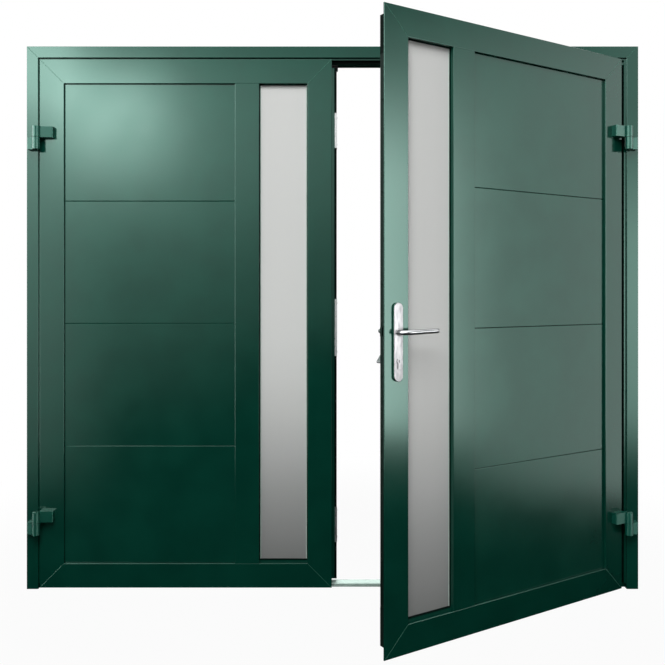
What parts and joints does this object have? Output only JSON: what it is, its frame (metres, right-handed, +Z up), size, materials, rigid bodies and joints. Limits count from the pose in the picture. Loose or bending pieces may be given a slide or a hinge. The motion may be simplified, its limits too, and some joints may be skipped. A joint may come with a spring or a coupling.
{
  "type": "side hinged garage door",
  "caption": "Side hinged garage door: green painted metal leaves with insulated panel sections and narrow frosted panes, swinging outwards in a frame, with a lever handle and lock.",
  "frame": {"origin": "on the floor, under the threshold, midway between the jambs and midway through the frame's depth", "axes": "+X to the right seen from the street, -Y towards the street, +Z up"},
  "size_m": [2.4, 0.6931, 2.13],
  "materials": {
    "frame_paint": "satin powder coat",
    "panel_paint": "satin powder coat",
    "frosted_glass": "satin frosted",
    "black_seal": "matt",
    "black_plastic": "matt",
    "threshold_metal": "natural anodised",
    "handle_metal": "satin silver",
    "lock_steel": "bright zinc"
  },
  "bodies": {
    "frame": {"left_lower_frame_hinge": "frame_paint", "left_upper_frame_hinge": "frame_paint", "right_lower_frame_hinge": "frame_paint", "right_upper_frame_hinge": "frame_paint", "left_jamb": "frame_paint", "right_jamb": "frame_paint", "head": "frame_paint", "threshold": "threshold_metal", "stop_seals": "black_seal"},
    "left_leaf": {"left_bottom_rail": "frame_paint", "left_glass": "frosted_glass", "left_glazing_seal": "black_seal", "left_hinge_stile": "frame_paint", "left_inside_beads": "frame_paint", "left_keeps": "lock_steel", "left_lower_leaf_hinge": "frame_paint", "left_meeting_stile": "frame_paint", "left_mullion": "frame_paint", "left_panel_1": "panel_paint", "left_panel_2": "panel_paint", "left_panel_3": "panel_paint", "left_panel_4": "panel_paint", "left_rebate_cap": "black_plastic", "left_rebate_profile": "frame_paint", "left_rebate_seal": "black_seal", "left_thermal_breaks": "black_plastic", "left_top_rail": "frame_paint", "left_upper_leaf_hinge": "frame_paint"},
    "right_leaf": {"inside_backplate": "handle_metal", "lock_cylinder": "lock_steel", "lock_face": "lock_steel", "outside_backplate": "handle_metal", "right_bottom_rail": "frame_paint", "right_glass": "frosted_glass", "right_glazing_seal": "black_seal", "right_hinge_stile": "frame_paint", "right_inside_beads": "frame_paint", "right_lower_leaf_hinge": "frame_paint", "right_meeting_stile": "frame_paint", "right_mullion": "frame_paint", "right_panel_1": "panel_paint", "right_panel_2": "panel_paint", "right_panel_3": "panel_paint", "right_panel_4": "panel_paint", "right_thermal_breaks": "black_plastic", "right_top_rail": "frame_paint", "right_upper_leaf_hinge": "frame_paint"},
    "lever": {"outside_lever": "handle_metal", "inside_lever": "handle_metal", "lever_spindle": "lock_steel"},
    "thumb_turn": {"thumb_turn": "handle_metal"}
  },
  "joints": [
    {"name": "left_leaf_swing", "type": "hinge", "parent": "frame", "child": "left_leaf", "pos_m": [-1.152, -0.063, 0], "axis": [0, 0, -1], "range_deg": [0, 110]},
    {"name": "right_leaf_swing", "type": "hinge", "parent": "frame", "child": "right_leaf", "pos_m": [1.152, -0.063, 0], "axis": [0, 0, 1], "range_deg": [-32.2, 77.8]},
    {"name": "lever_turn", "type": "hinge", "parent": "right_leaf", "child": "lever", "pos_m": [0.20551, -0.6224, 1.038], "axis": [-0.5329, 0.8462, 0], "range_deg": [0, 45], "stiffness_Nm_per_rad": 1.5, "springref_deg": -22.92},
    {"name": "thumb_turn_spin", "type": "hinge", "parent": "right_leaf", "child": "thumb_turn", "pos_m": [0.20551, -0.6224, 0.946], "axis": [-0.5329, 0.8462, 0], "range_deg": [0, 90]}
  ]
}
